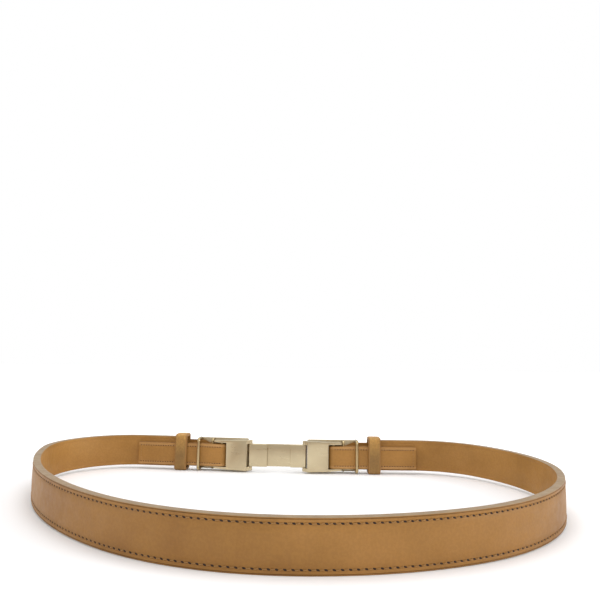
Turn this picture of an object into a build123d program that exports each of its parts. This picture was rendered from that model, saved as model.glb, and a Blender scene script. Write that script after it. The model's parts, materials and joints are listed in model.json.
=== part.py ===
"""Leather belt with a two-frame link clasp, closed into its loop and standing on its lower edge.

Millimetres, +Z up. The origin is on the floor, under the middle of the whole belt's box. +X runs along the
clasp, from the left frame to the right one, and +Y points away from the wearer at the clasp.

The strap is drawn in the belt plane, which leans back a little, because the two leather keepers are taller
than the strap and lift the clasp side. Distances along a frame are measured from the clasp pin, away from
the link. Depths are measured outward from the strap's inner face.
"""
from build123d import *
from math import asin, cos, degrees, radians, sin
import os

# Strap: three plies of leather
strap_width = 20.0
lining_ply = 1.2
core_ply = 1.2
grain_ply = 1.2
strap_thick = lining_ply + core_ply + grain_ply

# Stitching
thread_width = 0.5
thread_depth = 0.3
thread_sunk = 0.05
row_inset = 2.1

# Narrow ends, folded back through the frames as two-ply tails, which hang low in the frames
end_width = 15.0
end_ply = 1.0
tail_drop = 1.5
left_tail_end = 78.05
right_tail_end = 75.75
tail_gap = 0.15
shoulder_start = 27.65
neck_start = 33.65
neck_end = 43.0
neck_width = 18.0
shoulder_end = 48.5
tail_row_inset = 2.1
tail_row_start = 37.55

# Plan of the loop, at the strap's inner face
pin_spacing = 37.5
rake = 3.35
straight_end = 75.05
left_lobe = (41.2, 107.0)
left_front_turn = 42.2
front = (128.7, 34.0)
right_front_turn = 27.3
right_side = (114.7, 50.3)
right_rear = (84.8, 55.3)
right_lobe = (46.3, 50.6)
box_centre = (7.813, -88.562)

# Frames, which hang below the strap's middle
clasp_drop = 1.0
wire_radius = 0.95
wire_bend = 1.6
fit = 0.1
face_gap = 0.2
face_thick = 1.2
face_height = 21.0
face_start = 1.7
face_end = 37.05
face_corner = 1.2
box_height = 20.2
box_sheet = 1.0
rail_height = 18.8
rail_thick = 2.0
ear_thick = 2.4
box_start = 1.7
box_end = 15.85
rail_end = 24.95
ear_reach = 1.6
groove_width = 0.5
groove_height = 18.2
fold_at = 19.6
inner_bar_at = 26.35
outer_bar_at = 35.25
tail_step_start = 27.85
tail_step_end = 33.65

# Link and its two pins
pin_radius = 0.6
roll_inner = 0.65
link_sheet = 0.8
link_height = 15.0
left_tab = 11.85
right_tab = 9.75
notch_flare = 0.45

# Keepers
keeper_length = 8.2
keeper_wall = 1.8
keeper_side_gap = 0.3
keeper_edge_gap = 0.4
keeper_corner = 2.0
left_keeper_at = 43.45
right_keeper_at = 43.05
seam_stitch = 3.0
seam_pitch = 4.0

os.makedirs("parts", exist_ok=True)

# Depths that follow from the plies and wires
fold_radius = wire_radius + fit
fold_outer = fold_radius + end_ply + grain_ply
fold_depth = strap_thick - fold_outer
tail_rise = fold_radius - fold_depth - tail_gap
tail_face = fold_depth - fold_outer + tail_rise
outer_bar_depth = tail_face - fit - wire_radius
face_back = strap_thick + face_gap
box_back = outer_bar_depth + wire_radius - face_gap - box_sheet
link_outer = roll_inner + link_sheet
keeper_inner = tail_face - keeper_side_gap
keeper_outer = strap_thick + keeper_side_gap
keeper_height = strap_width + 2 * (keeper_edge_gap + keeper_wall)


def turned(angle):
    """Unit vector at an angle from +X, in the belt plane."""
    return Vector(cos(radians(angle)), sin(radians(angle)))


def arc_step(start_angle, turn):
    """Way across an arc of radius 1 that starts at an angle and turns left."""
    before = radians(start_angle)
    after = radians(start_angle + turn)
    return Vector(sin(after) - sin(before), cos(before) - cos(after))


# The two front radii are solved, so that the loop runs exactly from one pin to the other
turns = [left_lobe[1], left_front_turn, front[1], right_front_turn]
turns += [right_side[1], right_rear[1], right_lobe[1]]
radii = [left_lobe[0], 0.0, front[0], 0.0, right_side[0], right_rear[0], right_lobe[0]]
angle = 180.0 - rake
missing = Vector(pin_spacing, 0) - turned(angle) * straight_end
steps = []
for radius, turn in zip(radii, turns):
    steps.append(arc_step(angle, turn))
    missing = missing - steps[-1] * radius
    angle += turn
missing = missing - turned(angle) * straight_end
left_step = steps[1]
right_step = steps[3]
area = left_step.X * right_step.Y - left_step.Y * right_step.X
radii[1] = (missing.X * right_step.Y - missing.Y * right_step.X) / area
radii[3] = (left_step.X * missing.Y - left_step.Y * missing.X) / area

# Belt plane: the front edge is on the floor and the keepers carry the back
clasp = Vector(-box_centre[0], -box_centre[1])
left_pin = clasp - Vector(pin_spacing / 2, 0)
right_pin = clasp + Vector(pin_spacing / 2, 0)
lowest = left_pin + turned(180.0 - rake) * straight_end
angle = 180.0 - rake
for radius, turn in zip(radii, turns):
    if angle + turn > 360.0:
        lowest = lowest + arc_step(angle, 360.0 - angle) * radius
        front_edge = lowest.Y - strap_thick
        break
    lowest = lowest + arc_step(angle, turn) * radius
    angle += turn
keeper_drop = keeper_height / 2 - strap_width / 2
keeper_foot = left_pin.Y + left_keeper_at * sin(radians(rake)) + keeper_inner - keeper_wall + keeper_corner
lean = degrees(asin(keeper_drop / (keeper_foot - front_edge)))
up = Vector(0, -sin(radians(lean)), cos(radians(lean)))
belt = Plane(origin=(0, front_edge, 0), x_dir=(1, 0, 0), z_dir=up)


def on_belt(point, height=0.0):
    """A point of the plan, in space."""
    return belt.from_local_coords(Vector(point.X, point.Y - front_edge, height))


def end_plane(pin, angle, normal, drop):
    """Plane of one belt end, this far below the strap's middle: origin on its pin, x away, y outward."""
    away = on_belt(turned(angle)) - on_belt(Vector(0, 0))
    return Plane(origin=on_belt(pin, strap_width / 2 - drop), x_dir=away, z_dir=normal)


def end_planes(drop):
    """Planes of both belt ends."""
    left = end_plane(left_pin, 180.0 - rake, up * -1, drop)
    right = end_plane(right_pin, rake, up, drop)
    return {"left": left, "right": right}


ends = end_planes(clasp_drop)
tail_ends = end_planes(tail_drop)
strap_ends = end_planes(0.0)
link_plane = Plane(origin=on_belt(clasp, strap_width / 2 - clasp_drop), x_dir=(1, 0, 0), z_dir=up)
tail_lengths = {"left": left_tail_end, "right": right_tail_end}

# Across a depth plane, y points up at the left end and down at the right one
upward = {"left": 1, "right": -1}


def depth_plane(end, depth):
    """Plane across one belt end at a depth: x away from the link, facing outward."""
    return Plane(origin=end.from_local_coords(Vector(0, depth, 0)), x_dir=end.x_dir, z_dir=end.y_dir)


def section_plane(end, distance):
    """Plane across the strap at a distance from the pin: x outward, facing away from the link."""
    return Plane(origin=end.from_local_coords(Vector(distance, 0, 0)), x_dir=end.y_dir, z_dir=end.x_dir)


def strap_line(depth, first):
    """Line along the strap at a depth, from one frame round to the other. Returns its two ends."""
    pin = Vector(left_pin.X, left_pin.Y - front_edge)
    start = pin + turned(180.0 - rake) * first + turned(90.0 - rake) * depth
    line = Line(start, start + turned(180.0 - rake) * (straight_end - first))
    for radius, turn in zip(radii, turns):
        line = JernArc(line @ 1, line % 1, radius + depth, turn)
    line = Line(line @ 1, line @ 1 + (line % 1) * (straight_end - first))
    return start, line @ 1


def strap_band(inner, outer, first):
    """Closed outline of one ply or thread, between two depths."""
    inner_ends = strap_line(inner, first)
    outer_ends = strap_line(outer, first)
    Line(inner_ends[0], outer_ends[0])
    Line(inner_ends[1], outer_ends[1])


def end_ribbon(inner, outer, tail_end):
    """Closed outline of an end ply, folded round the fold bar, between two radii from that bar."""
    top = fold_depth + inner
    top_out = fold_depth + outer
    tail = fold_depth - inner
    tail_out = fold_depth - outer
    Polyline((fold_at, top), (shoulder_end, top), (shoulder_end, top_out), (fold_at, top_out))
    ThreePointArc((fold_at, top_out), (fold_at - outer, fold_depth), (fold_at, tail_out))
    Polyline(
        (fold_at, tail_out),
        (tail_step_start, tail_out),
        (tail_step_end, tail_out + tail_rise),
        (tail_end, tail_out + tail_rise),
        (tail_end, tail + tail_rise),
        (tail_step_end, tail + tail_rise),
        (tail_step_start, tail),
        (fold_at, tail),
    )
    ThreePointArc((fold_at, tail), (fold_at - inner, fold_depth), (fold_at, top))


def tail_row(tail_end):
    """Three-sided row of stitches on a tail."""
    half = end_width / 2 - tail_row_inset
    last = tail_end - tail_row_inset
    middle = (tail_row_start + last) / 2
    with Locations((middle, 0)):
        Rectangle(last - tail_row_start + thread_width, 2 * half + thread_width)
    with Locations((middle - thread_width, 0)):
        Rectangle(last - tail_row_start + thread_width, 2 * half - thread_width, mode=Mode.SUBTRACT)


# Strap plies
rows = {"bottom": row_inset, "top": strap_width - row_inset}

with BuildPart() as grain_leather:
    with BuildSketch(belt):
        with BuildLine():
            strap_band(lining_ply + core_ply, strap_thick, shoulder_end)
        make_face()
    extrude(amount=strap_width)
    for height in rows.values():
        with BuildSketch(belt.offset(height - thread_width / 2)):
            with BuildLine():
                strap_band(strap_thick - thread_depth, strap_thick, shoulder_end + row_inset)
            make_face()
        extrude(amount=thread_width, mode=Mode.SUBTRACT)
    for side, tail in tail_ends.items():
        with BuildSketch(tail):
            with BuildLine():
                end_ribbon(fold_radius + end_ply, fold_outer, tail_lengths[side])
            make_face()
        extrude(amount=end_width / 2, both=True)
        bottom = -strap_width / 2 * upward[side]
        neck_top = bottom + neck_width * upward[side]
        narrow = end_width / 2 * upward[side]
        low = tail_drop * upward[side]
        with BuildSketch(depth_plane(strap_ends[side], strap_thick - grain_ply)):
            with BuildLine():
                Polyline(
                    (shoulder_start, -narrow - low),
                    (neck_start, bottom),
                    (shoulder_end, bottom),
                    (shoulder_end, -bottom),
                    (neck_end, neck_top),
                    (neck_start, neck_top),
                    (shoulder_start, narrow - low),
                    close=True,
                )
            make_face()
        extrude(amount=grain_ply)
        with BuildSketch(depth_plane(tail, tail_face)):
            tail_row(tail_lengths[side])
        extrude(amount=thread_depth, mode=Mode.SUBTRACT)
grain_leather.part.label = "grain_leather"
export_step(grain_leather.part, "parts/grain_leather.step")

with BuildPart() as core_leather:
    with BuildSketch(belt):
        with BuildLine():
            strap_band(lining_ply, lining_ply + core_ply, shoulder_end)
        make_face()
    extrude(amount=strap_width)
core_leather.part.label = "core_leather"
export_step(core_leather.part, "parts/core_leather.step")

with BuildPart() as lining_leather:
    with BuildSketch(belt):
        with BuildLine():
            strap_band(0, lining_ply, shoulder_end)
        make_face()
    extrude(amount=strap_width)
lining_leather.part.label = "lining_leather"
export_step(lining_leather.part, "parts/lining_leather.step")

for row, height in rows.items():
    with BuildPart() as strap_thread:
        with BuildSketch(belt.offset(height - thread_width / 2)):
            with BuildLine():
                strap_band(strap_thick - thread_depth, strap_thick - thread_sunk, shoulder_end + row_inset)
            make_face()
        extrude(amount=thread_width)
    strap_thread.part.label = f"{row}_thread"
    export_step(strap_thread.part, f"parts/{row}_thread.step")

# Folded ends, frames and keepers, once for each end of the belt
keeper_places = {"left": left_keeper_at, "right": right_keeper_at}

for side, end in ends.items():
    tail = tail_ends[side]
    strap_end = strap_ends[side]
    tail_end = tail_lengths[side]

    with BuildPart() as end_lining:
        with BuildSketch(tail):
            with BuildLine():
                end_ribbon(fold_radius, fold_radius + end_ply, tail_end)
            make_face()
        extrude(amount=end_width / 2, both=True)
    end_lining.part.label = f"{side}_end_lining"
    export_step(end_lining.part, f"parts/{side}_end_lining.step")

    with BuildPart() as tail_thread:
        with BuildSketch(depth_plane(tail, tail_face + thread_sunk)):
            tail_row(tail_end)
        extrude(amount=thread_depth - thread_sunk)
    tail_thread.part.label = f"{side}_tail_thread"
    export_step(tail_thread.part, f"parts/{side}_tail_thread.step")

    with BuildPart() as face_plate:
        with BuildSketch(depth_plane(end, face_back)):
            with Locations(((face_start + face_end) / 2, 0)):
                RectangleRounded(face_end - face_start, face_height, face_corner)
        extrude(amount=face_thick)
        rim = face_plate.faces().sort_by(Axis((0, 0, 0), end.y_dir))[-1].edges()
        fillet(rim, radius=face_thick / 3)
    face_plate.part.label = f"{side}_face_plate"
    export_step(face_plate.part, f"parts/{side}_face_plate.step")

    # Back plate, two flanges that run on as rails, grooved beside the face plate, and two ears that hold the pin
    ear_inner = box_height / 2 - ear_thick
    rail_inner = box_height / 2 - rail_thick
    with BuildPart() as back_box:
        with BuildSketch(end):
            with Locations(((box_start + box_end) / 2, box_back + box_sheet / 2)):
                Rectangle(box_end - box_start, box_sheet)
        extrude(amount=box_height / 2, both=True)
        with BuildSketch(end.offset(rail_inner), end.offset(-box_height / 2)):
            with BuildLine():
                Polyline(
                    (box_start, box_back),
                    (box_end, box_back),
                    (rail_end, box_back + 2 * box_sheet),
                    (rail_end, face_back),
                    (box_start, face_back),
                    close=True,
                )
            make_face()
        extrude(amount=rail_thick)
        with BuildSketch(end.offset(ear_inner), end.offset(-box_height / 2)):
            with BuildLine():
                Polyline(
                    (0, -ear_reach),
                    (box_start, box_back),
                    (box_start + ear_thick, box_back),
                    (box_start + ear_thick, face_back),
                    (box_start, face_back),
                    (box_start, ear_reach),
                    (0, ear_reach),
                )
                ThreePointArc((0, ear_reach), (-ear_reach, 0), (0, -ear_reach))
            make_face()
            if side == "right":
                Circle(pin_radius, mode=Mode.SUBTRACT)
            else:
                Circle(roll_inner, mode=Mode.SUBTRACT)
                with BuildLine():
                    Polyline(
                        (-roll_inner, 0),
                        (roll_inner, 0),
                        (roll_inner + notch_flare, ear_reach + fit),
                        (-roll_inner - notch_flare, ear_reach + fit),
                        close=True,
                    )
                make_face(mode=Mode.SUBTRACT)
        extrude(amount=ear_thick)
        with BuildSketch(depth_plane(end, box_back)):
            with BuildLine():
                Polyline(
                    (-ear_reach, -box_height / 2),
                    (box_start, -box_height / 2),
                    (rail_end, -rail_height / 2),
                    (rail_end, rail_height / 2),
                    (box_start, box_height / 2),
                    (-ear_reach, box_height / 2),
                    close=True,
                )
            make_face()
        extrude(amount=face_back - box_back, mode=Mode.INTERSECT)
        with BuildSketch(depth_plane(end, face_back - groove_width)):
            Rectangle(3 * rail_end, 2 * box_height)
            Rectangle(3 * rail_end, groove_height, mode=Mode.SUBTRACT)
        extrude(amount=groove_width, mode=Mode.SUBTRACT)
    back_box.part.label = f"{side}_back_box"
    export_step(back_box.part, f"parts/{side}_back_box.step")

    bars = {
        "inner_staple": (inner_bar_at, fold_depth, face_height / 2 - wire_radius),
        "outer_staple": (outer_bar_at, outer_bar_depth, neck_width / 2 + fit + wire_radius),
    }
    for name, (distance, depth, half) in bars.items():
        with BuildPart() as staple:
            with BuildLine(section_plane(end, distance)) as wire:
                FilletPolyline(
                    (face_back, half),
                    (depth, half),
                    (depth, -half),
                    (face_back, -half),
                    radius=wire_bend,
                )
            with BuildSketch(Plane(origin=wire.line @ 0, z_dir=wire.line % 0)):
                Circle(wire_radius)
            sweep()
        staple.part.label = f"{side}_{name}"
        export_step(staple.part, f"parts/{side}_{name}.step")

    with BuildPart() as fold_bar:
        with BuildSketch(end):
            with Locations((fold_at, fold_depth)):
                Circle(wire_radius)
        extrude(amount=rail_inner, both=True)
    fold_bar.part.label = f"{side}_fold_bar"
    export_step(fold_bar.part, f"parts/{side}_fold_bar.step")

    keeper_at = keeper_places[side]
    seam_plane = depth_plane(strap_end, keeper_outer + keeper_wall - thread_depth)
    with BuildPart() as keeper:
        with BuildSketch(section_plane(strap_end, keeper_at)):
            with Locations(((keeper_inner + keeper_outer) / 2, 0)):
                RectangleRounded(keeper_outer - keeper_inner + 2 * keeper_wall, keeper_height, keeper_corner)
                Rectangle(keeper_outer - keeper_inner, strap_width + 2 * keeper_edge_gap, mode=Mode.SUBTRACT)
        extrude(amount=keeper_length)
        with BuildSketch(seam_plane):
            with Locations((keeper_at + keeper_length / 2, 0)):
                with GridLocations(seam_pitch, 1, 2, 1):
                    Rectangle(thread_width, seam_stitch)
        extrude(amount=thread_depth, mode=Mode.SUBTRACT)
    keeper.part.label = f"{side}_keeper"
    export_step(keeper.part, f"parts/{side}_keeper.step")

    with BuildPart() as keeper_seam:
        with BuildSketch(seam_plane):
            with Locations((keeper_at + keeper_length / 2, 0)):
                with GridLocations(seam_pitch, 1, 2, 1):
                    Rectangle(thread_width, seam_stitch)
        extrude(amount=thread_depth - thread_sunk)
    keeper_seam.part.label = f"{side}_keeper_seam"
    export_step(keeper_seam.part, f"parts/{side}_keeper_seam.step")

# Link: one strip of sheet, rolled back round a pin at each end
with BuildPart() as link_plate:
    half = pin_spacing / 2
    with BuildSketch(link_plane):
        with BuildLine():
            Polyline((-half, roll_inner), (half, roll_inner))
            ThreePointArc((half, roll_inner), (half + roll_inner, 0), (half, -roll_inner))
            Polyline(
                (half, -roll_inner),
                (half - right_tab, -roll_inner),
                (half - right_tab, -link_outer),
                (half, -link_outer),
            )
            ThreePointArc((half, -link_outer), (half + link_outer, 0), (half, link_outer))
            Polyline((half, link_outer), (-half, link_outer))
            ThreePointArc((-half, link_outer), (-half - link_outer, 0), (-half, -link_outer))
            Polyline(
                (-half, -link_outer),
                (-half + left_tab, -link_outer),
                (-half + left_tab, -roll_inner),
                (-half, -roll_inner),
            )
            ThreePointArc((-half, -roll_inner), (-half - roll_inner, 0), (-half, roll_inner))
        make_face()
    extrude(amount=link_height / 2, both=True)
link_plate.part.label = "link_plate"
export_step(link_plate.part, "parts/link_plate.step")

with BuildPart() as hinge_pin:
    with BuildSketch(ends["right"]):
        Circle(pin_radius)
    extrude(amount=box_height / 2, both=True)
hinge_pin.part.label = "hinge_pin"
export_step(hinge_pin.part, "parts/hinge_pin.step")

with BuildPart() as latch_bar:
    with BuildSketch(ends["left"]):
        Circle(pin_radius)
    extrude(amount=box_height / 2, both=True)
latch_bar.part.label = "latch_bar"
export_step(latch_bar.part, "parts/latch_bar.step")
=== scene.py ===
"""Looks of the link-clasp belt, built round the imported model. Metres, +Z up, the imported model's frame."""
import json
import random
from bisect import bisect_right
from math import acos, cos, hypot, pi, radians, sin, sqrt

import bmesh
import bpy
from mathutils import Matrix, Vector


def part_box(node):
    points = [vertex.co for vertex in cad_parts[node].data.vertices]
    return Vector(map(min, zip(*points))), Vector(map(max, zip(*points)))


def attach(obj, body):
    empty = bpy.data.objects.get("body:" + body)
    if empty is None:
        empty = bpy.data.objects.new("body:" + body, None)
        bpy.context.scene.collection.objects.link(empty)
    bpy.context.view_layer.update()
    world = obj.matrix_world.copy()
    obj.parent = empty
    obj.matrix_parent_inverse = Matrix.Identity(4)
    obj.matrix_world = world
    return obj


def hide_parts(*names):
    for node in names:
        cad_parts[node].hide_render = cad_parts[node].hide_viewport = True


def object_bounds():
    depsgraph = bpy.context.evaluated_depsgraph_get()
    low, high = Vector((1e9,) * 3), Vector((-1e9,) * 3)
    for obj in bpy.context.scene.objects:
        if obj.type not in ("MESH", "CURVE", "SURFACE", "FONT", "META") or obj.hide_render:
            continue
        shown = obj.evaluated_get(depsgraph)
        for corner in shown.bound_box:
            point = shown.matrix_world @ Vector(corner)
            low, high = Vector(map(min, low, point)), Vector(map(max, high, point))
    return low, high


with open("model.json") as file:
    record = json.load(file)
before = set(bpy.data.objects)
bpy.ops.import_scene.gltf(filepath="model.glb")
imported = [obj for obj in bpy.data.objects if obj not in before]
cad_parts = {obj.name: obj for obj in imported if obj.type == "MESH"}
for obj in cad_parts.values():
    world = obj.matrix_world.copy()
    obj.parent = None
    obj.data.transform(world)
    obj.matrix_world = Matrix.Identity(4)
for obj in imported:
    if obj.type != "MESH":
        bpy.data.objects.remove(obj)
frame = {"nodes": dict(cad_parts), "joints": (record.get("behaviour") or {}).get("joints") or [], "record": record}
cad_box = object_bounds()
nodes = frame["nodes"]
joints = {joint["name"]: joint for joint in frame["joints"]}
MM = 0.001

# Strap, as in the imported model
STRAP_WIDTH = 20.0 * MM
PLY = 1.2 * MM
STRAP_THICK = 3 * PLY
END_WIDTH = 15.0 * MM
END_PLY = 1.0 * MM
TAIL_ENDS = {"left": 78.05 * MM, "right": 75.75 * MM}
TAIL_DROP = 1.5 * MM
CLASP_DROP = 1.0 * MM
NECK = (27.65 * MM, 33.65 * MM)
SHOULDER = (43.0 * MM, 48.5 * MM)
NECK_RISE = 2.0 * MM
STRAIGHT_END = 75.05 * MM
FOLD_AT = 19.6 * MM
FOLD_INNER = 1.05 * MM
FOLD_DEPTH = STRAP_THICK - FOLD_INNER - END_PLY - PLY
TAIL_STEP = (27.85 * MM, 33.65 * MM)
TAIL_GAP = 0.15 * MM
TAIL_RISE = FOLD_INNER - FOLD_DEPTH - TAIL_GAP

# Plan arcs, as radius and turn; a radius of 0 is worked out so that the loop closes
ARCS = [(41.2, 107.0), (0.0, 42.2), (128.7, 34.0), (0.0, 27.3), (114.7, 50.3), (84.8, 55.3), (46.3, 50.6)]

# Pins at the strap's mid height: the clasp itself hangs a little lower
UP = -Vector(joints["link_hinge"]["axis"]).normalized()
PIN = {
    "left": sum(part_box("latch_bar"), Vector()) / 2 + UP * CLASP_DROP,
    "right": Vector(joints["link_hinge"]["pos_m"]) + UP * CLASP_DROP,
}
AWAY = {side: Vector(joints[f"{side}_keeper_slide"]["axis"]).normalized() for side in ("left", "right")}
OUT = {"left": UP.cross(AWAY["left"]) * -1, "right": UP.cross(AWAY["right"])}
PLAN_X = Vector((1, 0, 0))
PLAN_Y = UP.cross(PLAN_X)


# ---------------------------------------------------------------- path of the strap

def heading(angle):
    """Unit vector at an angle from +X, in the belt plane."""
    return PLAN_X * cos(angle) + PLAN_Y * sin(angle)


def arc_step(start, turn):
    """Way across an arc of radius 1 that starts at an angle and turns left."""
    return PLAN_X * (sin(start + turn) - sin(start)) + PLAN_Y * (cos(start) - cos(start + turn))


def make_track():
    """Runs of the strap's inner face from pin to pin, and their whole length.

    Each run has its start distance, point and angle, then its radius and turn; a straight run has radius 0.
    """
    start_angle = pi - acos(min(1.0, -AWAY["left"].dot(PLAN_X)))
    arcs = [[radius * MM, radians(turn)] for radius, turn in ARCS]
    angle = start_angle
    missing = PIN["right"] - PIN["left"] - heading(angle) * STRAIGHT_END
    steps = []
    for radius, turn in arcs:
        steps.append(arc_step(angle, turn))
        missing -= steps[-1] * radius
        angle += turn
    missing -= heading(angle) * STRAIGHT_END
    first, second = [i for i, arc in enumerate(arcs) if arc[0] == 0.0]
    a, b = steps[first], steps[second]
    area = a.dot(PLAN_X) * b.dot(PLAN_Y) - a.dot(PLAN_Y) * b.dot(PLAN_X)
    x, y = missing.dot(PLAN_X), missing.dot(PLAN_Y)
    arcs[first][0] = (x * b.dot(PLAN_Y) - y * b.dot(PLAN_X)) / area
    arcs[second][0] = (a.dot(PLAN_X) * y - a.dot(PLAN_Y) * x) / area
    runs = [(0.0, PIN["left"], start_angle, 0.0, STRAIGHT_END)]
    at = STRAIGHT_END
    point = PIN["left"] + heading(start_angle) * STRAIGHT_END
    angle = start_angle
    for radius, turn in arcs:
        runs.append((at, point, angle, radius, turn))
        point = point + arc_step(angle, turn) * radius
        at += radius * turn
        angle += turn
    runs.append((at, point, angle, 0.0, STRAIGHT_END))
    return runs, at + STRAIGHT_END


RUNS, TRACK_LENGTH = make_track()
RUN_STARTS = [run[0] for run in RUNS]


def track(at):
    """Point on the strap's inner face at mid height, and the outward direction there."""
    start, point, angle, radius, _ = RUNS[max(0, bisect_right(RUN_STARTS, at) - 1)]
    if radius == 0.0:
        return point + heading(angle) * (at - start), heading(angle - pi / 2)
    turned = (at - start) / radius
    return point + arc_step(angle, turned) * radius, heading(angle + turned - pi / 2)


def end_point(side, away, depth, height=0.0):
    """Point at a belt end: distance from its pin, depth out from the inner face, height from mid height."""
    return PIN[side] + AWAY[side] * away + OUT[side] * depth + UP * height


# ---------------------------------------------------------------- materials

def linear(colour):
    """Linear colour from 0 to 255 display values."""
    values = []
    for value in colour:
        c = value / 255
        values.append(c / 12.92 if c <= 0.04045 else ((c + 0.055) / 1.055) ** 2.4)
    return (*values, 1.0)


class Nodes:
    """Short way to write a material's nodes."""

    def __init__(self, name):
        self.material = bpy.data.materials.new(name)
        self.material.use_nodes = True
        self.tree = self.material.node_tree
        self.shader = self.tree.nodes["Principled BSDF"]
        self.place = self.add("ShaderNodeTexCoord").outputs["Object"]

    def add(self, kind, **values):
        node = self.tree.nodes.new(kind)
        for key, value in values.items():
            setattr(node, key, value)
        return node

    def link(self, source, target):
        self.tree.links.new(source, target)

    def noise(self, scale, detail=2.0, roughness=0.5, stretch=None):
        node = self.add("ShaderNodeTexNoise")
        node.inputs["Scale"].default_value = scale
        node.inputs["Detail"].default_value = detail
        node.inputs["Roughness"].default_value = roughness
        place = self.place
        if stretch:
            mapping = self.add("ShaderNodeMapping")
            mapping.inputs["Scale"].default_value = stretch
            self.link(self.place, mapping.inputs["Vector"])
            place = mapping.outputs["Vector"]
        self.link(place, node.inputs["Vector"])
        return node.outputs["Fac"]

    def cells(self, scale):
        """Distance to the edges of irregular cells."""
        node = self.add("ShaderNodeTexVoronoi", feature="DISTANCE_TO_EDGE")
        node.inputs["Scale"].default_value = scale
        self.link(self.place, node.inputs["Vector"])
        return node.outputs["Distance"]

    def ramp(self, source, *stops):
        """Colour or grey ramp: stops are (position, value or display colour)."""
        node = self.add("ShaderNodeValToRGB")
        ramp = node.color_ramp
        while len(ramp.elements) < len(stops):
            ramp.elements.new(0.5)
        for element, (position, value) in zip(ramp.elements, stops):
            element.position = position
            element.color = linear(value) if hasattr(value, "__len__") else (value, value, value, 1)
        self.link(source, node.inputs["Fac"])
        return node.outputs["Color"]

    def mix(self, factor, a, b, blend="MIX"):
        node = self.add("ShaderNodeMix", data_type="RGBA", blend_type=blend)
        for socket, value in ((node.inputs["Factor"], factor), (node.inputs["A"], a), (node.inputs["B"], b)):
            if hasattr(value, "is_output"):
                self.link(value, socket)
            elif hasattr(value, "__len__"):
                socket.default_value = value
            else:
                socket.default_value = value if socket.type == "VALUE" else (value, value, value, 1)
        return node.outputs["Result"]

    def bump(self, *layers):
        """Bump from (height, strength, distance) layers."""
        normal = None
        for height, strength, distance in layers:
            node = self.add("ShaderNodeBump")
            node.inputs["Strength"].default_value = strength
            node.inputs["Distance"].default_value = distance
            self.link(height, node.inputs["Height"])
            if normal:
                self.link(normal, node.inputs["Normal"])
            normal = node.outputs["Normal"]
        self.link(normal, self.shader.inputs["Normal"])

    def set(self, **values):
        for name, value in values.items():
            socket = self.shader.inputs[name.replace("_", " ")]
            if hasattr(value, "is_output"):
                self.link(value, socket)
            else:
                socket.default_value = value
        return self.material


def leather(name, light, middle, dark, roughness, grain=0.35):
    """Smooth vegetable-tanned leather: cloudy tone, fine pores and creases."""
    m = Nodes(name)
    tone = leather_tone(m, light, middle, dark)
    return leather_surface(m, tone, roughness, grain)


def leather_tone(m, light, middle, dark):
    """Cloudy tone with fine flecks."""
    clouds = m.noise(28.0, 3.0, 0.55)
    tone = m.ramp(clouds, (0.32, dark), (0.5, middle), (0.7, light))
    flecks = m.ramp(m.noise(900.0, 2.0, 0.6), (0.42, 0.86), (0.6, 1.0))
    return m.mix(0.6, tone, flecks, "MULTIPLY")


def leather_surface(m, tone, roughness, grain):
    """Gloss and relief of leather: slow waves and fine pores."""
    rough = m.ramp(m.noise(240.0, 3.0, 0.6), (0.3, roughness - 0.06), (0.7, roughness + 0.07))
    m.bump((m.noise(90.0, 3.0, 0.55), 0.25, 0.25 * MM), (m.cells(1500.0), grain, 0.05 * MM))
    return m.set(Base_Color=tone, Roughness=rough, Specular_IOR_Level=0.35)


def keeper_leather():
    """Coarser leather, softly darker with a mottle from mid height down."""
    m = Nodes("keeper_leather")
    tone = leather_tone(m, (206, 158, 92), (190, 144, 76), (166, 122, 60))
    parts = m.add("ShaderNodeSeparateXYZ")
    m.link(m.place, parts.inputs["Vector"])
    heights = m.add("ShaderNodeMapRange")
    m.link(parts.outputs["Z"], heights.inputs["Value"])
    heights.inputs["From Max"].default_value = 25 * MM
    # band: how much darker the keeper is at each height, none near the top
    band = m.ramp(heights.outputs["Result"], (0.05, 0.66), (0.42, 0.74), (0.6, 0.46), (0.84, 0.0))
    grain = m.ramp(m.noise(700.0, 3.0, 0.7), (0.38, 0.7), (0.62, 1.0))
    tone = m.mix(0.8, tone, grain, "MULTIPLY")
    shade = m.ramp(m.noise(90.0, 2.0, 0.5), (0.3, 0.75), (0.7, 1.0))
    tone = m.mix(m.mix(1.0, shade, band, "MULTIPLY"), tone, linear((112, 84, 46)))
    return leather_surface(m, tone, 0.55, 0.6)


def edge_paint():
    """Dressed edge: pale, slightly glossy paint over the plies."""
    m = Nodes("edge_paint")
    tone = m.ramp(m.noise(160.0, 3.0, 0.6), (0.3, (138, 112, 79)), (0.7, (152, 127, 93)))
    rough = m.ramp(m.noise(400.0, 2.0, 0.5), (0.3, 0.38), (0.7, 0.52))
    m.bump((m.noise(260.0, 3.0, 0.6), 0.3, 0.08 * MM))
    return m.set(Base_Color=tone, Roughness=rough)


def waxed_thread(name, light, dark):
    """Waxed linen thread: twisted plies."""
    m = Nodes(name)
    twist = m.add("ShaderNodeTexWave", wave_type="BANDS", bands_direction="DIAGONAL")
    twist.inputs["Scale"].default_value = 1100.0
    twist.inputs["Distortion"].default_value = 1.5
    m.link(m.place, twist.inputs["Vector"])
    tone = m.ramp(twist.outputs["Fac"], (0.1, dark), (0.7, light))
    m.bump((twist.outputs["Fac"], 0.6, 0.06 * MM))
    return m.set(Base_Color=tone, Roughness=0.6)


def needle_hole_shade():
    """Painted shade of a needle slot: dark colour standing in for the shadow inside the hole."""
    m = Nodes("needle_hole_shade")
    tone = m.ramp(m.noise(1400.0, 2.0, 0.5), (0.3, (26, 12, 2)), (0.7, (52, 28, 8)))
    return m.set(Base_Color=tone, Roughness=0.8)


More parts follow.
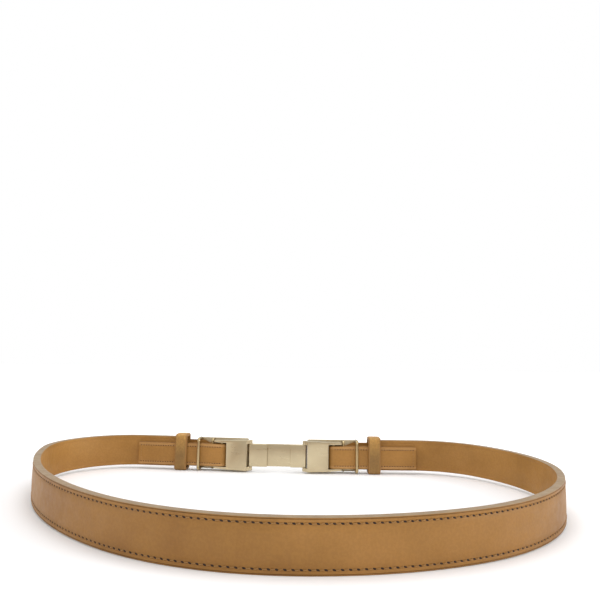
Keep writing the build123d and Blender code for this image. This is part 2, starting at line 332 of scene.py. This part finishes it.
def satin_gold(name, dark, light, brushed):
    """Pale gold plate with a fine satin finish and faint handling marks."""
    m = Nodes(name)
    tone = m.ramp(m.noise(60.0, 3.0, 0.5), (0.3, dark), (0.7, light))
    lines = m.noise(900.0, 3.0, 0.6, stretch=(0.08, 0.08, 1.6)) if brushed else m.noise(900.0, 2.0, 0.5)
    marks = m.ramp(m.noise(320.0, 4.0, 0.7), (0.5, 0.0), (0.72, 1.0))
    rough = m.ramp(lines, (0.3, 0.26), (0.7, 0.38))
    rough = m.mix(m.mix(0.12, 0.0, marks), rough, 0.6)
    m.bump((lines, 0.12, 0.02 * MM))
    return m.set(Base_Color=tone, Roughness=rough, Metallic=1.0)


TAN = leather("tan_leather", (164, 116, 55), (154, 108, 48), (144, 99, 42), 0.5)
# Crease line painted darker than the face: painted shade in the groove
TAN_CREASE_SHADE = leather("tan_crease_shade", (132, 92, 44), (120, 82, 36), (108, 72, 30), 0.6)
# Tail face: the same grain leather as the strap, painted lighter as painted light
TAN_TAIL_LIT = leather("tan_tail_lit", (174, 125, 61), (163, 116, 54), (151, 106, 47), 0.5)
# Tail margins painted lighter: a painted highlight on the domed margins
TAN_MARGIN_HIGHLIGHT = leather("tan_margin_highlight", (186, 139, 82), (176, 130, 74), (164, 119, 65), 0.42)
TAIL_SIDE = leather("tail_side", (156, 112, 56), (144, 102, 48), (128, 89, 40), 0.6)
LINING = leather("tan_lining", (174, 127, 64), (164, 117, 55), (152, 107, 47), 0.58, 0.25)
KEEPER = keeper_leather()
KEEPER_SIDE = leather("keeper_side", (168, 124, 70), (154, 112, 60), (136, 96, 48), 0.6)
CORE = leather("core_leather", (172, 146, 112), (162, 136, 102), (150, 124, 90), 0.6)
EDGE = edge_paint()
THREAD = waxed_thread("strap_thread", (166, 122, 66), (134, 95, 48))
TAIL_THREAD = waxed_thread("tail_thread", (176, 132, 80), (136, 98, 54))
# Needle holes: painted shade standing in for the shadow inside each hole
HOLE_SHADE = needle_hole_shade()
GOLD = satin_gold("satin_gold", (193, 177, 145), (205, 190, 157), True)
PLAIN_GOLD = satin_gold("satin_gold_wire", (178, 157, 117), (190, 170, 130), False)


# ---------------------------------------------------------------- mesh helpers

def finish_mesh(name, bm, materials, sharp=35.0):
    """Object from a bmesh, smooth except across sharp edges."""
    bmesh.ops.remove_doubles(bm, verts=bm.verts, dist=1e-7)
    bmesh.ops.recalc_face_normals(bm, faces=bm.faces)
    mesh = bpy.data.meshes.new(name)
    bm.to_mesh(mesh)
    bm.free()
    for material in materials:
        mesh.materials.append(material)
    mesh.shade_smooth()
    mesh.set_sharp_from_angle(angle=radians(sharp))
    piece = bpy.data.objects.new(name, mesh)
    bpy.context.scene.collection.objects.link(piece)
    return piece


def skin_rings(bm, rings, slots, closed=False):
    """Faces between rings of points, with a row of material numbers round each ring, and end caps."""
    rows = [[bm.verts.new(point) for point in ring] for ring in rings]
    count = len(rows[0])
    pairs = list(zip(rows, rows[1:]))
    if closed:
        pairs.append((rows[-1], rows[0]))
    for (near, far), numbers in zip(pairs, slots):
        for i in range(count):
            j = (i + 1) % count
            face = bm.faces.new((near[i], near[j], far[j], far[i]))
            face.material_index = numbers[i]
    if not closed:
        for row, numbers in ((rows[0], slots[0]), (rows[-1], slots[-1])):
            cap = bm.faces.new(row)
            cap.material_index = numbers[0]


def ring(point, normal, section):
    """Closed ring of points: a section of (height, depth) pairs across the strap at one place."""
    return [point + UP * height + normal * depth for height, depth in section]


# ---------------------------------------------------------------- leather plies

CROWN = 0.12 * MM
CHANNEL_HALF = 0.55 * MM
CHANNEL_DEEP = 0.16 * MM
TAIL_CHANNEL = 0.07 * MM
CREASE_AT = 0.5 * MM
CREASE_DEEP = 0.16 * MM
ROW_INSET = 2.1 * MM
TAIL_ROW_INSET = 2.1 * MM
TIP_LENGTH = 1.1 * MM
TIP_NARROWS = 0.9 * MM
TIP_THINS = 0.45 * MM
STRAP_STEP = 1.6 * MM
FACE, PAINT, FOLD_LINE, BACK, SIDE, MARGIN, TAIL = range(7)


def strap_section(channel, crease):
    """Section of the grain ply on the strap: crowned face, crease, stitch channel, tight painted corner."""
    inner, outer = CHANNEL_HALF, CHANNEL_HALF * 0.6
    edge = [
        (0.0, 0.0, PAINT), (0.0, PLY - 0.12 * MM, PAINT), (0.03 * MM, PLY - 0.04 * MM, PAINT),
        (0.12 * MM, PLY, FACE), (CREASE_AT - 0.16 * MM, PLY, FOLD_LINE), (CREASE_AT, PLY - crease, FOLD_LINE),
        (CREASE_AT + 0.16 * MM, PLY, FACE), (ROW_INSET - inner, PLY + 0.03 * MM, FACE),
        (ROW_INSET - outer, PLY - channel, FACE), (ROW_INSET + outer, PLY - channel, FACE),
        (ROW_INSET + inner, PLY, FACE), (STRAP_WIDTH * 0.3, PLY + CROWN * 0.7, FACE),
    ]
    return mirrored(STRAP_WIDTH / 2, edge, (PLY + CROWN, FACE), BACK)


def tail_section(half, channel, drop):
    """Section of the grain ply on a folded end: domed margins outside the stitch rows."""
    top = PLY - drop
    row = TAIL_ROW_INSET
    edge = [
        (0.0, 0.0, SIDE), (0.0, top - 0.5 * MM, SIDE), (0.1 * MM, top - 0.27 * MM, SIDE),
        (0.35 * MM, top - 0.08 * MM, MARGIN), (0.75 * MM, top + 0.02 * MM, MARGIN),
        (1.2 * MM, top + 0.03 * MM, MARGIN), (row - 0.45 * MM, top - 0.04 * MM, MARGIN),
        (row - 0.2 * MM, top - channel, TAIL), (row, top - channel, TAIL),
        (row + 0.2 * MM, top - channel, TAIL), (row + 0.45 * MM, top, TAIL),
        (half * 0.6, top + CROWN * 0.4, TAIL),
    ]
    return mirrored(half, edge, (top + CROWN * 0.5, TAIL), BACK)


def flat_section(half, thick, draw_in):
    """Section of a ply whose back corner is rounded by draw_in, with a faint line near that edge.

    Material 0 is the ply's face and material 1 its side.
    """
    line = 2.0 * MM
    edge = [
        (line + 0.3 * MM, 0.0, 0), (line, 0.1 * MM * bool(draw_in), 0), (line - 0.3 * MM, 0.0, 0),
        (draw_in, 0.0, 1), (draw_in * 0.35, draw_in * 0.3, 1), (0.0, max(draw_in, 0.1 * MM), 1),
        (0.0, thick, 0),
    ]
    return mirrored(half, edge, None, 0)


def mirrored(half, edge, middle, closing):
    """Ring over both halves of a section, from (inset, depth, material) points of one half."""
    upper = [(half - inset, depth, material) for inset, depth, material in edge]
    lower = [(-height, depth, material) for height, depth, material in reversed(upper)]
    points = upper + ([(0.0, *middle)] if middle else []) + lower
    section = [(height, depth) for height, depth, _ in points]
    slots = []
    for here, after in zip(points, points[1:] + points[:1]):
        slots.append(here[2] if here[0] > 0 else after[2])
    slots[-1] = closing
    return section, slots


def smooth_step(value, low, high):
    """Rise from 0 at low to 1 at high, level at both ends."""
    share = min(1.0, max(0.0, (value - low) / (high - low)))
    return share * share * (3 - 2 * share)


def spread(low, high, step):
    """Even numbers from low to high, no further apart than step."""
    count = max(1, round(abs(high - low) / step))
    return [low + (high - low) * i / count for i in range(count + 1)]


def tail_depth(at, radius):
    """Depth of a face of a folded end on its tail side: radius is that face's distance from the fold bar."""
    return FOLD_DEPTH - radius + TAIL_RISE * smooth_step(at, *TAIL_STEP)


def end_stations(side, radius):
    """Places along a folded end, from its tail to its shoulder.

    Each is a point on the ply's back, the direction of its face, and the distance from the pin, which is 0 in
    the fold and negative on the strap side.
    """
    out, away = OUT[side], AWAY[side]
    tip = TAIL_ENDS[side]
    places = []
    tips = [tip - offset * MM for offset in (0.0, 0.08, 0.25, 0.5, 0.9, 1.4)]
    for at in tips + spread(FOLD_AT, tip - 1.4 * MM, 1.5 * MM)[::-1][1:]:
        places.append((end_point(side, at, tail_depth(at, radius)), -out, at))
    for angle in spread(0.0, pi, pi / 16)[1:-1]:
        direction = -out * cos(angle) - away * sin(angle)
        places.append((end_point(side, FOLD_AT, FOLD_DEPTH) + direction * radius, direction, 0.0))
    for at in spread(FOLD_AT, SHOULDER[1], 0.8 * MM):
        places.append((end_point(side, at, FOLD_DEPTH + radius), out, -at))
    return places


def tip_round(side, at):
    """How far the rounding of a tail's tip has come, from 0 to 1."""
    share = max(0.0, 1.0 - (TAIL_ENDS[side] - at) / TIP_LENGTH) if at > 0 else 0.0
    return 1 - sqrt(1 - share * share)


def end_span(side, at):
    """Middle height and half width of a belt end, at a distance that is negative on the strap side."""
    half = END_WIDTH / 2
    if at < 0:
        low = -TAIL_DROP - half - (STRAP_WIDTH / 2 - TAIL_DROP - half) * smooth_step(-at, *NECK)
        high = half - TAIL_DROP + NECK_RISE * (smooth_step(-at, *NECK) + smooth_step(-at, *SHOULDER))
        return (low + high) / 2, (high - low) / 2
    return -TAIL_DROP, half - TIP_NARROWS * tip_round(side, at)


def grain_leather():
    """The outer ply, in one piece from tail end to tail end."""
    ends = {}
    for side in ("left", "right"):
        ends[side] = []
        for point, normal, at in end_stations(side, FOLD_INNER + END_PLY):
            middle, half = end_span(side, at)
            channel = TAIL_CHANNEL if at > 0 else 0.0
            section, slots = tail_section(half, channel, TIP_THINS * tip_round(side, at))
            ends[side].append((ring(point + UP * middle, normal, section), slots))
    strap = []
    for at in spread(SHOULDER[1], TRACK_LENGTH - SHOULDER[1], STRAP_STEP)[1:-1]:
        point, normal = track(at)
        fade = smooth_step(min(at, TRACK_LENGTH - at), SHOULDER[1], SHOULDER[1] + 2 * MM)
        section, slots = strap_section(CHANNEL_DEEP * fade, CREASE_DEEP * fade)
        strap.append((ring(point + normal * 2 * PLY, normal, section), slots))
    rings = ends["left"] + strap + ends["right"][::-1]
    bm = bmesh.new()
    skin_rings(bm, [points for points, _ in rings], [slots for _, slots in rings])
    # The crease, tail face and tail margin materials carry painted shade, painted light and a painted highlight
    materials = [TAN, EDGE, TAN_CREASE_SHADE, LINING, TAIL_SIDE, TAN_MARGIN_HIGHLIGHT, TAN_TAIL_LIT]
    piece = finish_mesh("grain_leather_strap", bm, materials)
    settle(piece, "belt", ["grain_leather"])


def end_lining(side):
    """Second ply of a folded end, inside the fold."""
    rings, slots = [], []
    for point, normal, at in end_stations(side, FOLD_INNER):
        middle, half = end_span(side, max(at, 0.0))
        section, numbers = flat_section(half, END_PLY, 0.12 * MM)
        rings.append(ring(point + UP * middle, normal, section))
        slots.append(numbers)
    bm = bmesh.new()
    skin_rings(bm, rings, slots)
    piece = finish_mesh(f"{side}_tail_lining", bm, [LINING, TAIL_SIDE])
    settle(piece, "belt", [f"{side}_end_lining"])


def strap_ply(name, depth, draw_in, materials, node):
    """Core or lining ply, along the strap between the shoulders."""
    rings, slots = [], []
    for at in spread(SHOULDER[1], TRACK_LENGTH - SHOULDER[1], STRAP_STEP):
        point, normal = track(at)
        section, numbers = flat_section(STRAP_WIDTH / 2, PLY, draw_in)
        rings.append(ring(point + normal * depth, normal, section))
        slots.append(numbers)
    bm = bmesh.new()
    skin_rings(bm, rings, slots)
    settle(finish_mesh(name, bm, materials), "belt", [node])


def settle(piece, body, replaced):
    """Piece rides on its body and stands for CAD nodes, which it hides."""
    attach(piece, body)
    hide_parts(*replaced)


# ---------------------------------------------------------------- stitches

STITCH_PITCH = 2.85 * MM
TAIL_PITCH = 1.75 * MM
STITCH_SLANT = radians(27)
STITCH_LENGTH = 1.75
ROW_START = 2.5 * MM

# Thread along one stitch: share of its length, rise as a share of its lift, and thickness as a share
STRAND = [
    (0.0, -0.7, 0.35), (0.1, 0.1, 0.8), (0.3, 0.8, 1.0),
    (0.7, 0.8, 1.0), (0.9, 0.1, 0.8), (1.0, -0.7, 0.35),
]


def add_thread(bm, start, end, normal, radius, lift):
    """One stitch of material 0 between two needle holes: it rises from one and dips into the other."""
    along = end - start
    side = along.cross(normal).normalized()
    rows = []
    for share, rise, size in STRAND:
        middle = start + along * share + normal * (lift * rise)
        turn = [i * pi / 4 for i in range(8)]
        rows.append([bm.verts.new(middle + (side * cos(a) + normal * sin(a)) * radius * size) for a in turn])
    for near, far in zip(rows, rows[1:]):
        for i in range(8):
            bm.faces.new((near[i], near[(i + 1) % 8], far[(i + 1) % 8], far[i]))
    for row in (rows[0], rows[-1]):
        bm.faces.new(row)


def add_hole(bm, middle, along, across, normal, length, width):
    """Needle slot as painted shade: a low, dark, lens-shaped lip of material 1 where the hole is; no hole is cut.
    """
    rim = []
    for i in range(12):
        a = i * pi / 6
        aside = width / 2 * sin(a) ** 3 * 0.5 + width / 2 * sin(a) * 0.5
        rim.append(bm.verts.new(middle + along * (length / 2 * cos(a)) + across * aside))
    lifted = [bm.verts.new(v.co + (middle - v.co) * 0.45 + normal * 0.05 * MM) for v in rim]
    for i in range(12):
        bm.faces.new((rim[i], rim[(i + 1) % 12], lifted[(i + 1) % 12], lifted[i])).material_index = 1
    bm.faces.new(lifted).material_index = 1
    bm.faces.new(rim[::-1]).material_index = 1


def strap_stitches(row, sign):
    """One row of saddle stitches round the strap's face."""
    bm = bmesh.new()
    chance = random.Random(7 + sign)
    face = STRAP_THICK - CHANNEL_DEEP
    places = spread(SHOULDER[1] + ROW_START, TRACK_LENGTH - SHOULDER[1] - ROW_START, STITCH_PITCH)
    height = sign * (STRAP_WIDTH / 2 - ROW_INSET)
    tips = []
    for at in places:
        point, normal = track(at)
        along = UP.cross(normal)
        down = (along * cos(STITCH_SLANT) - UP * sin(STITCH_SLANT)).normalized()
        length = (STITCH_LENGTH + chance.uniform(-0.12, 0.12)) * MM
        middle = point + normal * (face + 0.02 * MM) + UP * (height + chance.uniform(-0.05, 0.05) * MM)
        add_hole(bm, middle, down, down.cross(normal), normal, length, 0.85 * MM)
        tips.append((middle - down * length * 0.36, middle + down * length * 0.36, normal))
    for near, far in zip(tips, tips[1:]):
        normal = (near[2] + far[2]).normalized()
        add_thread(bm, near[1], far[0], normal, 0.22 * MM, 0.14 * MM)
    piece = finish_mesh(f"{row}_stitches", bm, [THREAD, HOLE_SHADE])
    settle(piece, "belt", [f"{row}_thread"])


def tail_stitches(side):
    """Three-sided row of stitches on a tail."""
    out = OUT[side]
    half = END_WIDTH / 2 - TAIL_ROW_INSET
    first, last = FOLD_AT + 0.8 * MM, TAIL_ENDS[side] - TAIL_ROW_INSET
    along = spread(first, last, TAIL_PITCH)
    path = [(at, half) for at in along]
    path += [(last, height) for height in spread(half, -half, TAIL_PITCH)[1:-1]]
    path += [(at, -half) for at in reversed(along)]
    outer = FOLD_INNER + END_PLY + PLY
    marks = []
    for at, height in path:
        marks.append(end_point(side, at, tail_depth(at, outer) + TAIL_CHANNEL, height - TAIL_DROP))
    bm = bmesh.new()
    for mark, before, after in zip(marks, marks[:1] + marks[:-1], marks[1:] + marks[-1:]):
        direction = (after - before).normalized()
        add_hole(bm, mark, direction, direction.cross(out).normalized(), -out, 0.95 * MM, 0.62 * MM)
    for near, far in zip(marks, marks[1:]):
        gap = (far - near) * 0.2
        add_thread(bm, near + gap, far - gap, -out, 0.16 * MM, 0.04 * MM)
    piece = finish_mesh(f"{side}_tail_stitches", bm, [TAIL_THREAD, HOLE_SHADE])
    settle(piece, "belt", [f"{side}_tail_thread"])


# ---------------------------------------------------------------- keepers

KEEPER_WALL = 1.8 * MM
KEEPER_LENGTH = 8.2 * MM
KEEPER_GAPS = (0.3 * MM, 0.4 * MM)
KEEPER_TURN = 0.6 * MM
KEEPER_LEANS = {"left": 0.014, "right": 0.0}
KEEPER_SEEDS = {"left": 31, "right": 32}
SEAM_ASIDE = 2.0 * MM
SEAM_LENGTH = 3.0 * MM
SEAM_HOLE_AT = 1.6 * MM


def keeper_loop():
    """Places round a keeper's inner face: depth, height, direction."""
    low = -(TAIL_GAP + END_PLY + PLY) - KEEPER_GAPS[0]
    high = STRAP_THICK + KEEPER_GAPS[0]
    half = STRAP_WIDTH / 2 + KEEPER_GAPS[1]
    corners = [(high, half, 0.0), (low, half, 90.0), (low, -half, 180.0), (high, -half, 270.0)]
    places = []
    for depth, height, start in corners:
        turn_depth = depth - KEEPER_TURN * (1 if depth > 0 else -1)
        turn_height = height - KEEPER_TURN * (1 if height > 0 else -1)
        for angle in spread(radians(start), radians(start + 90), radians(11)):
            aside, up = KEEPER_TURN * cos(angle), KEEPER_TURN * sin(angle)
            places.append((turn_depth + aside, turn_height + up, angle))
    full = []
    for here, after in zip(places, places[1:] + places[:1]):
        full.append(here)
        across, along = after[0] - here[0], after[1] - here[1]
        gap = hypot(across, along)
        if gap > 2 * MM:
            for share in spread(0.0, 1.0, 0.8 * MM / gap)[1:-1]:
                full.append((here[0] + across * share, here[1] + along * share, here[2]))
    return full


def keeper(side):
    """Thick leather loop round strap and tail, with soft corners and slightly wavy faces, and its seam."""
    body = f"{side}_keeper"
    low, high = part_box(body)
    away, out = AWAY[side], OUT[side]
    centre_at = ((low + high) / 2 - PIN[side]).dot(away)
    chance = random.Random(KEEPER_SEEDS[side])
    phases = [chance.uniform(0, 2 * pi) for _ in range(3)]
    half = KEEPER_LENGTH / 2
    section = [
        (-half, 0.5, 1), (-half + 0.08 * MM, 0.75, 1),
        (-half + 0.35 * MM, 0.93, 1), (-half + 0.8 * MM, 0.985, 0),
        (-half * 0.55, 1.0, 0), (-half * 0.2, 1.015, 0), (half * 0.2, 1.015, 0), (half * 0.55, 1.0, 0),
        (half - 0.8 * MM, 0.985, 1), (half - 0.35 * MM, 0.93, 1), (half - 0.08 * MM, 0.75, 1), (half, 0.5, 1),
        (half, 0.1, 1), (half - 0.15 * MM, 0.0, 2), (-half + 0.15 * MM, 0.0, 1), (-half, 0.1, 1),
    ]
    rings = []
    for depth, height, angle in keeper_loop():
        normal = out * cos(angle) + UP * sin(angle)
        wave = sin(height / MM * 0.55 + phases[0]) * 0.5 + sin(height / MM * 1.4 + phases[1]) * 0.3
        row = []
        for across, share, _ in section:
            thick = KEEPER_WALL * (share + (0.012 * wave if share > 0.5 else 0.0))
            waist = 1.0 + 0.008 * sin(height / MM * 0.8 + phases[2])
            at = centre_at + across * waist - height * KEEPER_LEANS[side]
            row.append(end_point(side, at, depth, height) + normal * thick)
        rings.append(row)
    bm = bmesh.new()
    skin_rings(bm, rings, [[slot for _, _, slot in section]] * len(rings), closed=True)
    piece = finish_mesh(f"{side}_keeper_loop", bm, [KEEPER, KEEPER_SIDE, LINING])
    settle(piece, body, [body])
    bm = bmesh.new()
    surface = STRAP_THICK + KEEPER_GAPS[0] + KEEPER_WALL
    for offset in (-SEAM_ASIDE, SEAM_ASIDE):
        start = end_point(side, centre_at + offset, surface, -SEAM_LENGTH / 2)
        add_thread(bm, start, start + UP * SEAM_LENGTH, out, 0.28 * MM, 0.1 * MM)
        for height in (-SEAM_HOLE_AT, SEAM_HOLE_AT):
            hole = end_point(side, centre_at + offset, surface, height)
            add_hole(bm, hole, UP, away, out, 0.7 * MM, 0.5 * MM)
    seam = finish_mesh(f"{side}_keeper_stitches", bm, [THREAD, HOLE_SHADE])
    settle(seam, body, [f"{side}_keeper_seam"])


# ---------------------------------------------------------------- metal

def eased(node, width, material):
    """A metal piece in its CAD shape, with its sharp edges eased as plated sheet has them."""
    source = nodes[node]
    bm = bmesh.new()
    bm.from_mesh(source.data)
    bmesh.ops.remove_doubles(bm, verts=bm.verts, dist=2e-6)
    bmesh.ops.dissolve_limit(bm, angle_limit=radians(0.6), verts=bm.verts, edges=bm.edges)
    edges = [e for e in bm.edges if len(e.link_faces) == 2 and e.calc_face_angle(0.0) > radians(32)]
    bmesh.ops.bevel(
        bm, geom=edges, offset=width, offset_type="OFFSET", segments=3, profile=0.5,
        affect="EDGES", clamp_overlap=True,
    )
    piece = finish_mesh(f"{node}_metal", bm, [material], sharp=50.0)
    bodies = frame["record"]["behaviour"]["bodies"]
    body = next(name for name, members in bodies.items() if node in members)
    settle(piece, body, [node])


# ---------------------------------------------------------------- build

grain_leather()
strap_ply("core_strap", PLY, 0.0, [CORE, EDGE], "core_leather")
strap_ply("lining_strap", 0.0, 0.15 * MM, [LINING, EDGE], "lining_leather")
strap_stitches("top", 1)
strap_stitches("bottom", -1)
for side in ("left", "right"):
    end_lining(side)
    tail_stitches(side)
    keeper(side)
    eased(f"{side}_face_plate", 0.2 * MM, GOLD)
    eased(f"{side}_back_box", 0.22 * MM, GOLD)
    for wire in ("inner_staple", "outer_staple", "fold_bar"):
        eased(f"{side}_{wire}", 0.15 * MM, PLAIN_GOLD)
eased("link_plate", 0.25 * MM, GOLD)
eased("hinge_pin", 0.2 * MM, PLAIN_GOLD)
eased("latch_bar", 0.2 * MM, PLAIN_GOLD)


# ---------------------------------------------------------------- stage, light and camera

# Brightness of the surroundings, level with the belt and straight above
SKY = (0.68, 0.92)


def stage_floor():
    """Plain pale floor that runs on far behind the belt."""
    bm = bmesh.new()
    half = 6.0
    corners = [(-half, -half), (half, -half), (half, half), (-half, half)]
    bm.faces.new([bm.verts.new((x, y, cad_box[0].z - 0.02 * MM)) for x, y in corners])
    mesh = bpy.data.meshes.new("floor")
    bm.to_mesh(mesh)
    bm.free()
    m = Nodes("floor_white")
    tone = m.ramp(m.noise(3.0, 2.0, 0.5), (0.3, (246, 246, 247)), (0.7, (249, 249, 250)))
    distance = m.add("ShaderNodeVectorMath", operation="LENGTH")
    m.link(m.place, distance.inputs[0])
    far = m.ramp(distance.outputs["Value"], (0.17, 0.03), (0.34, 0.35))
    m.set(Base_Color=tone, Roughness=0.7, Emission_Color=far, Emission_Strength=1.0)
    mesh.materials.append(m.material)
    floor = bpy.data.objects.new("floor", mesh)
    bpy.context.scene.collection.objects.link(floor)


def area_light(name, place, target, size, power):
    """Soft light at a place, turned toward a target."""
    data = bpy.data.lights.new(name, "AREA")
    data.shape = "RECTANGLE"
    data.size, data.size_y = size
    data.energy = power
    light = bpy.data.objects.new(name, data)
    light.location = place
    light.rotation_euler = (Vector(target) - Vector(place)).to_track_quat("-Z", "Y").to_euler()
    bpy.context.scene.collection.objects.link(light)


def studio():
    """White surroundings, brighter above than at the sides, with soft lights overhead and at both sides."""
    world = bpy.data.worlds.new("studio")
    world.use_nodes = True
    tree = world.node_tree
    white = tree.nodes["Background"]
    white.inputs["Color"].default_value = (1, 1, 1, 1)
    place = tree.nodes.new("ShaderNodeTexCoord")
    parts = tree.nodes.new("ShaderNodeSeparateXYZ")
    sky = tree.nodes.new("ShaderNodeValToRGB")
    low, high = SKY
    sky.color_ramp.elements[0].color = (low, low, low, 1)
    sky.color_ramp.elements[1].color = (high, high, high, 1)
    glow = tree.nodes.new("ShaderNodeBackground")
    rays = tree.nodes.new("ShaderNodeLightPath")
    both = tree.nodes.new("ShaderNodeMixShader")
    tree.links.new(place.outputs["Generated"], parts.inputs["Vector"])
    tree.links.new(parts.outputs["Z"], sky.inputs["Fac"])
    tree.links.new(sky.outputs["Color"], glow.inputs["Color"])
    tree.links.new(rays.outputs["Is Camera Ray"], both.inputs[0])
    tree.links.new(glow.outputs["Background"], both.inputs[1])
    tree.links.new(white.outputs["Background"], both.inputs[2])
    tree.links.new(both.outputs["Shader"], tree.nodes["World Output"].inputs["Surface"])
    bpy.context.scene.world = world
    area_light("overhead", (0.0, 0.1, 1.0), (0, 0, 0), (0.6, 0.6), 3.5)
    area_light("right", (1.3, -0.25, 0.6), (0, 0, 0), (0.5, 0.5), 6.5)
    area_light("left", (-1.3, -0.6, 0.5), (0, 0, 0), (0.7, 0.7), 2.5)
    bpy.context.scene.view_settings.view_transform = "Standard"


# Camera: low, in front of the belt and a little to its right, tilted up so that the belt sits low in view
CAMERA_FROM_CLASP = (29.616, -391.011)
CAMERA_HEIGHT = 74.68
CAMERA_TURN = 2.2994
CAMERA_LIFT = 6.345
CAMERA_ROLL = 0.8455
LENS = 33.6


def camera():
    """Camera at a place given from the clasp's middle."""
    data = bpy.data.cameras.new("camera")
    data.lens = LENS
    data.clip_start, data.clip_end = 0.01, 20.0
    eye = bpy.data.objects.new("camera", data)
    clasp = (PIN["left"] + PIN["right"]) / 2
    aside, back = CAMERA_FROM_CLASP
    place = Vector((clasp.x + aside * MM, clasp.y + back * MM, CAMERA_HEIGHT * MM))
    turn = Matrix.Rotation(radians(CAMERA_TURN), 4, "Z")
    tilt = Matrix.Rotation(radians(90 + CAMERA_LIFT), 4, "X")
    roll = Matrix.Rotation(radians(CAMERA_ROLL), 4, "Z")
    eye.matrix_world = Matrix.Translation(place) @ turn @ tilt @ roll
    bpy.context.scene.collection.objects.link(eye)
    bpy.context.scene.camera = eye


stage_floor()
studio()
camera()

bpy.context.view_layer.update()
